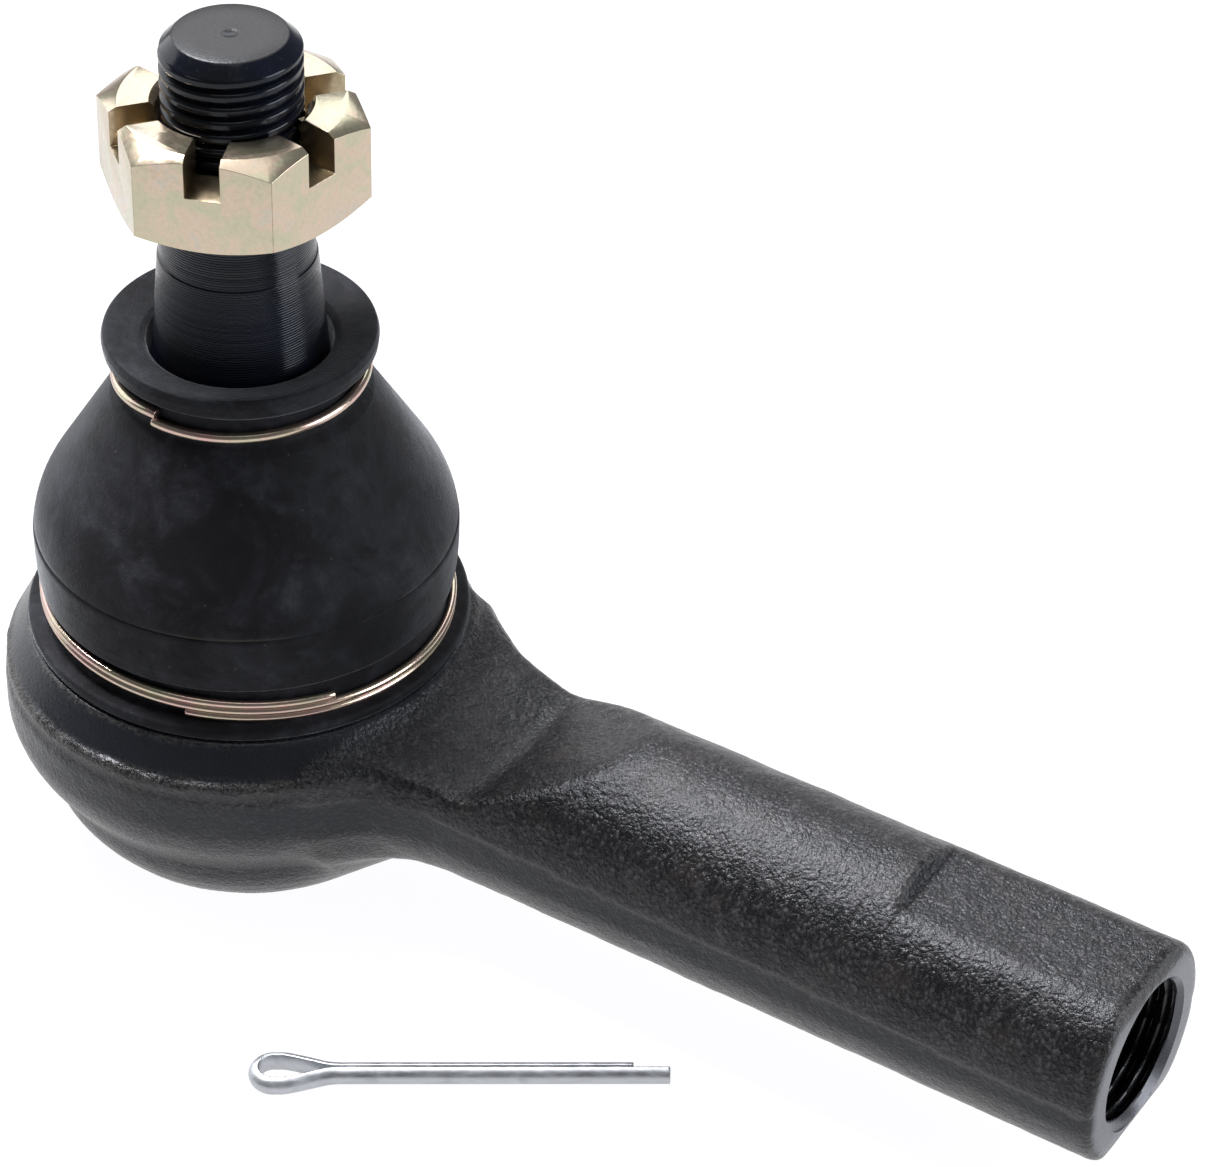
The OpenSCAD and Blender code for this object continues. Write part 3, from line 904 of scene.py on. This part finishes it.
def build_stud():
    major, minor = 6.9, 5.98
    z = np.arange(THREAD_Z, STUD_TOP_Z - 1.0, PITCH / 16)
    steps = 160
    t = np.arange(steps) / steps
    bulge = np.clip(1.32 - thread_offset(z, t) * 2.35, 0, 1)
    bulge = np.sin(bulge * math.pi / 2) ** 1.15
    r = minor + (major - minor) * bulge * step(z, THREAD_Z, 61.2)[:, None]
    chamfer = 5.5 + (STUD_TOP_Z - z) * 1.02
    lead = step(z, STUD_TOP_Z - 1.55, STUD_TOP_Z - 1.25)[:, None]
    r = r * (1 - lead) + np.minimum(6.86, chamfer)[:, None] * lead
    a = t * 2 * math.pi
    below = stud_below_thread()
    # (radius, depth under the top) from the chamfer to the centre dimple
    top = np.array([(6.35, 0.82), (5.75, 0.22), (5.6, 0.08), (5.42, 0), (3.5, 0.02), (1.1, 0.02),
                    (0.95, 0.01), (0.75, 0.05), (0.45, 0.12), (0.12, 0.14)])
    rings = [ring_stack(below[:, :1], below[:, 1], a), ring_stack(r, z, a),
             ring_stack(top[:, :1], STUD_TOP_Z - top[:, 1], a)]
    o = make_object("ball_stud_turned", *capped_tube(np.concatenate(rings)), 48)
    tool = revolve("tool", [(CROSS_HOLE_R, -12), (CROSS_HOLE_R, 12)], 32, axis="X")
    tool.matrix_world = Matrix.Translation((0, 0, CROSS_HOLE_Z * MM)) @ Matrix.Rotation(NUT_TURN, 4, "Z")
    cut(o, tool)
    shade(o.data, 48)
    dress(o, STUD)
    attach(o, "stud")
    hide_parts("ball_stud")


build_stud()

# ---------------------------------------------------------------- castle nut
NUT_FLATS, NUT_Z, NUT_H = 23.35, 58.45, 10.15
NUT_CORNER = NUT_FLATS / 2 / math.cos(math.radians(30))
SLOT_DEPTH, SLOT_W = 4.25, 3.5
SLOT_ANGLES = (30, 90, 150)


def nut_blank():
    """The hexagon with its chamfered crown and foot, standing at z 0."""
    hexagon = [(NUT_CORNER * math.cos(k * math.pi / 3), NUT_CORNER * math.sin(k * math.pi / 3))
               for k in range(6)]
    co = [(x, y, z) for z in (0, NUT_H) for x, y in hexagon]
    faces = [tuple(range(5, -1, -1)), tuple(range(6, 12))]
    faces += [(k, (k + 1) % 6, 6 + (k + 1) % 6, 6 + k) for k in range(6)]
    o = make_object("castle_nut_forged", co, faces)
    wide = NUT_CORNER + 0.2
    cut(o, revolve("tool", [(11.55, 0), (wide, 1.15), (wide, NUT_H - 1.55), (11.0, NUT_H)], 192), "INTERSECT")
    return o


def nut_bore():
    """The space of the nut's thread. Its crests clear the stud's, so that the nut can turn in place."""
    major, minor = 7.45, 6.94
    steps = 144
    t = np.arange(steps) / steps
    z = np.arange(-0.6, NUT_H + 0.6, PITCH / 14)
    bulge = np.clip(1.42 - thread_offset(z + NUT_Z, t) * 2.35, 0, 1)
    r = minor + (major - minor) * bulge
    r = np.maximum(r, (8.2 - z)[:, None])
    r = np.maximum(r, (7.95 - (NUT_H - z) * 0.9)[:, None])
    return make_object("tool", *capped_tube(ring_stack(r, z, t * 2 * math.pi)))


def mark_nut(o):
    """Face attributes: slot on the slots' walls and floors, corner on the bevels of the six corners."""
    count = len(o.data.polygons)
    centre, normal = np.zeros(count * 3), np.zeros(count * 3)
    o.data.polygons.foreach_get("center", centre)
    o.data.polygons.foreach_get("normal", normal)
    centre, normal = centre.reshape(-1, 3) / MM, normal.reshape(-1, 3)
    z = centre[:, 2]
    slot, facing = np.zeros(count), np.zeros(count)
    for k in SLOT_ANGLES:
        across = np.array([-math.sin(math.radians(k)), math.cos(math.radians(k)), 0])
        off = np.abs(centre @ across)
        wall = (np.abs(normal @ across) > 0.9) & (off < SLOT_W / 2 + 0.05) & (off > SLOT_W / 2 - 0.05)
        ground = (off < SLOT_W / 2 - 0.1) & (z < NUT_H - SLOT_DEPTH + 0.2) & (normal[:, 2] > 0.9)
        slot = np.maximum(slot, (wall | ground) * (z > NUT_H - SLOT_DEPTH - 0.1))
    for k in range(6):
        outwards = np.array([math.cos(math.radians(60 * k + 30)), math.sin(math.radians(60 * k + 30)), 0])
        facing = np.maximum(facing, normal @ outwards)
    radius = np.hypot(centre[:, 0], centre[:, 1])
    corner = (radius > 11.6) & (radius > NUT_CORNER - 0.45) & (np.abs(normal[:, 2]) < 0.3)
    corner = corner & (facing < 0.985) & (slot < 0.5)
    add_attribute(o, "slot", slot, "FACE")
    add_attribute(o, "corner", corner, "FACE")


def build_nut():
    o = nut_blank()
    for k in SLOT_ANGLES:
        tool = box_tool((-20, -SLOT_W / 2, NUT_H - SLOT_DEPTH), (20, SLOT_W / 2, NUT_H + 5))
        tool.matrix_world = Matrix.Rotation(math.radians(k), 4, "Z")
        cut(o, tool)
    bevel(o, 0.22, 3, 24)
    cut(o, nut_bore())
    mark_nut(o)
    o.data.transform(Matrix.Translation((0, 0, NUT_Z * MM)) @ Matrix.Rotation(NUT_TURN, 4, "Z"))
    shade(o.data, 30)
    dress(o, ZINC_NUT)
    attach(o, "nut")
    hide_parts("castle_nut")


build_nut()

# ---------------------------------------------------------------- dust boot, in two pieces
SPLIT_Z = 23.0
BULGE_R, BULGE_WALL_R = 12.6, 10.4
BULGE_X, BULGE_Z = 9.1, 18.2
CONE_LEAN = math.radians(31.8)


def bulge_arc(r, first):
    """Points round the boot's bulge from height first up to the cone, with three by the split."""
    seam = math.asin((SPLIT_Z - BULGE_Z) / r)
    angles = sorted([*np.linspace(math.asin(first / r), CONE_LEAN, 7), seam - 0.006, seam, seam + 0.006])
    return [(BULGE_X + r * math.cos(t), BULGE_Z + r * math.sin(t)) for t in angles]


def cone_r(z, r=BULGE_R):
    """Radius of the cone that leaves the bulge, at height z."""
    return BULGE_X + (r - (z - BULGE_Z) * math.sin(CONE_LEAN)) / math.cos(CONE_LEAN)


def boot_profiles():
    """Outer line of the boot from its lower bead up to its lip, and the inner line back down."""
    bead = rounded([(19.65, 8.0), (22.7, 8.0), (22.74, 9.35), (20.5, 9.5), (20.45, 13.1), (21.2, 13.2),
                    (21.5, 15.0), (21.62, 17)], [0, 0.75, 0.62, 0.45, 0.4, 0.5, 1.5, 0])
    crease = [(21.66, 19.4), (21.60, 19.68), (21.46, 19.8), (21.50, 19.95)]
    lip = rounded([(cone_r(30), 30), (cone_r(35.6), 35.6), (12.1, 36.6), (11.92, 40.05), (12.6, 40.35),
                   (13.6, 40.75), (13.75, 42.0), (13.5, 42.88), (12.7, 42.72), (9.9, 42.0), (9.3, 41.5),
                   (9.3, 38)],
                  [0, 1.0, 0.7, 0.5, 0.4, 0.7, 0.7, 0.35, 0.9, 0.4, 0.4, 0])
    outer = np.vstack([bead, crease, bulge_arc(BULGE_R, 2.0), lip])
    inner = [(9.3, 36.6), (9.8, 36.0), (cone_r(35.2, BULGE_WALL_R), 35.2), (cone_r(30, BULGE_WALL_R), 30)]
    inner += bulge_arc(BULGE_WALL_R, 0.0)[::-1] + [(19.5, 15), (19.55, 13.2), (19.65, 12.7), (19.65, 10)]
    return outer, np.array(inner)


def boot_half(lower):
    """The closed outline of the wall below or above the split."""
    way = 1 if lower else -1
    outer, inner = (line[(line[:, 1] - SPLIT_Z) * way <= 1e-6] for line in boot_profiles())
    outer, inner = resample(outer, 0.45), resample(inner, 0.9)
    return np.vstack([inner, outer] if lower else [outer, inner])


def build_boot():
    steps = 192
    angles = np.arange(steps) * 2 * math.pi / steps
    for name, lower, a, b, start, end in (
            ("dust_boot_lower", True, "housing", "boot", 12.4, SPLIT_Z),
            ("dust_boot_upper", False, "boot", "boot_top", SPLIT_Z, 31.8)):
        line = boot_half(lower)
        rings = ring_stack(line[:, :1], line[:, 1], angles)
        o = make_object(name, rings.reshape(-1, 3), ring_faces(rings, wrap=True), 50)
        dress(o, RUBBER)
        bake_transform(o)
        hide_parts("dust_boot")


build_boot()


# ---------------------------------------------------------------- wire rings and cotter pin
def ring(name, radius, wire, start, turns, height, body, node):
    """A wire ring from angle start, in degrees. height gives z from turns made and angle."""
    t = np.linspace(0, turns, int(150 * turns))
    a = np.radians(start) + t * 2 * math.pi
    r = radius + 0.03 * np.sin(a * 3 + 1)
    section = [(wire / 2 * math.cos(k * math.pi / 8), wire / 2 * math.sin(k * math.pi / 8))
               for k in range(16)]
    o = sweep(name, np.stack([r * np.cos(a), r * np.sin(a), height(t, a)], 1), section)
    bevel(o, 0.1, 2, 60)
    shade(o.data, 45)
    dress(o, ZINC_RING)
    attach(o, body)
    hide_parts(node)


def upper_height(t, a):
    """The upper wire dips and rises, and its ends cross."""
    return np.interp(t, [0, 0.1, 0.32, 0.6, 0.88, 1.0], [37.75, 37.85, 38.35, 38.3, 37.6, 38.75])


def lower_height(t, a):
    """The lower coil leans, and climbs by 0.8 mm a turn."""
    return 10.95 + 0.95 * np.cos(a + math.radians(160)) + 0.80 * (t - 1.05)


ring("boot_upper_ring_wire", 12.46, 1.1, -96.5, 1.006, upper_height, "boot_top", "boot_upper_ring")
ring("boot_lower_ring_wire", 20.96, 0.88, -71, 2.115, lower_height, "housing", "boot_lower_ring")


def build_pin():
    """A half-round wire folded round a drop-shaped eye, with one leg shorter, lying on the floor."""
    wire, length, shorter, eye_l, eye_w = 2.1, 41.5, 3.6, 8.4, 5.1
    half = wire / 2
    inner = eye_w / 2 - half
    right = [(eye_l + 2, 0.05), (eye_l + 0.5, 0.06), (eye_l - 0.7, 0.2), (eye_l - 2.2, 0.68),
             (eye_l - 4.0, 1.25), (3.3, inner)]
    arc = [(half + inner + inner * math.cos(t), inner * math.sin(t))
           for t in np.linspace(math.radians(78), math.radians(282), 17)]
    left = [(x, -y) for x, y in right[::-1]]
    legs = [[(end, y), (30, y), (20, y)] for end, y in ((length - shorter, 0.05), (length, -0.05))]
    path = [(x, y, 0) for x, y in smooth_line(legs[0] + right + arc + left + legs[1][::-1], 0.3)]
    # the flat side faces the other leg
    back = [(-half * math.sin(t), half * math.cos(t)) for t in np.linspace(0.06, math.pi - 0.06, 13)]
    o = sweep("cotter_pin_wire", path, [(0, half - 0.12)] + back + [(0, 0.12 - half)])
    at = Matrix.Translation(Vector((26.6, -37.25, BOTTOM_Z + half)) * MM)
    o.data.transform(at @ Matrix.Rotation(math.radians(34.2), 4, "Z"))
    bevel(o, 0.1, 2, 60)
    shade(o.data, 50)
    face_outwards(o)
    co = points_of(o)
    co[:, 2] = np.maximum(co[:, 2], BOTTOM_Z)
    set_points(o, co)
    dress(o, PIN)
    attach(o, "cotter")
    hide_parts("cotter_pin")


build_pin()


# ---------------------------------------------------------------- end cap
def build_cap():
    """A pressed cap with a raised middle."""
    outline = [(0.3, -15.0), (9.0, -15.0), (10.6, -15.3), (16.9, -15.3), (16.97, -14.1), (10.4, -14.1),
               (9.2, -13.9), (0.3, -13.9)]
    o = revolve("end_cap_pressed", rounded(outline, [0, 1.2, 1.2, 0.3, 0.3, 1, 1, 0], 5))
    face_outwards(o)
    dress(o, CAP)
    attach(o, "housing")
    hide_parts("end_cap")


build_cap()

# ---------------------------------------------------------------- inner pieces keep their CAD shape
for node, material in (("bearing_upper", LINER), ("bearing_lower", LINER), ("pressure_plate", PLATE),
                       ("disc_spring", SPRING)):
    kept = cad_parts[node]
    if not kept.material_slots:
        kept.data.materials.append(material)
    for place in kept.material_slots:
        place.material = material


# ---------------------------------------------------------------- floor, light and background
def build_floor():
    """A pale floor that glows near the part and fades away from it, a hair below the housing's foot."""
    z = BOTTOM_Z - 0.03
    far = 3000
    corners = [(-far, -far, z), (far, -far, z), (far, far, z), (-far, far, z)]
    floor = make_object("floor", corners, [(0, 1, 2, 3)])
    m = Mat("floor_white")
    x, y, _ = m.split()
    away = m.math("SQRT", m.add(m.times(x, x), m.times(y, y)))
    m.link(m.mix(m.noise(0.002, 2), (0.08, 0.08, 0.08), (0.09, 0.09, 0.09)), "Base Color")
    m.link(m.range(away, 260, 900, 0.97, 0.30, smooth=True), "Emission Strength")
    m.set(Roughness=0.9, Specular_IOR_Level=0.1, Emission_Color=(1.0, 1.0, 1.015, 1))
    floor.data.materials.append(m.material)


def soft_box(name, at, size, brightness, colour):
    """A rectangular light that looks at the part. Its power follows its brightness and area."""
    light = bpy.data.lights.new(name, "AREA")
    light.shape = "RECTANGLE"
    light.size, light.size_y = size
    light.energy = brightness * math.pi * size[0] * size[1]
    light.color = colour
    o = bpy.data.objects.new(name, light)
    bpy.context.scene.collection.objects.link(o)
    o.location = at
    o.rotation_mode = "QUATERNION"
    o.rotation_quaternion = (Vector((0.03, 0, 0.01)) - Vector(at)).to_track_quat("-Z", "Y")


build_floor()
world = bpy.data.worlds.new("world")
world.use_nodes = True
world.node_tree.nodes["Background"].inputs["Color"].default_value = (0.93, 0.95, 1.0, 1)
world.node_tree.nodes["Background"].inputs["Strength"].default_value = 0.16
bpy.context.scene.world = world
soft_box("top_left", (-0.34, 0.06, 0.72), (0.30, 0.30), 54.0, (0.985, 0.985, 1))
soft_box("overhead", (0.05, -0.08, 0.85), (0.5, 0.5), 1.3, (1, 1, 1))
soft_box("side_left", (-0.8, 0.05, 0.25), (0.6, 0.5), 2.2, (0.95, 0.97, 1))
soft_box("side_right", (0.80, 0.25, 0.28), (0.5, 0.5), 7.4, (0.92, 0.95, 1))
soft_box("back", (-0.35, 0.75, 0.62), (0.9, 0.5), 2.4, (0.97, 0.98, 1))
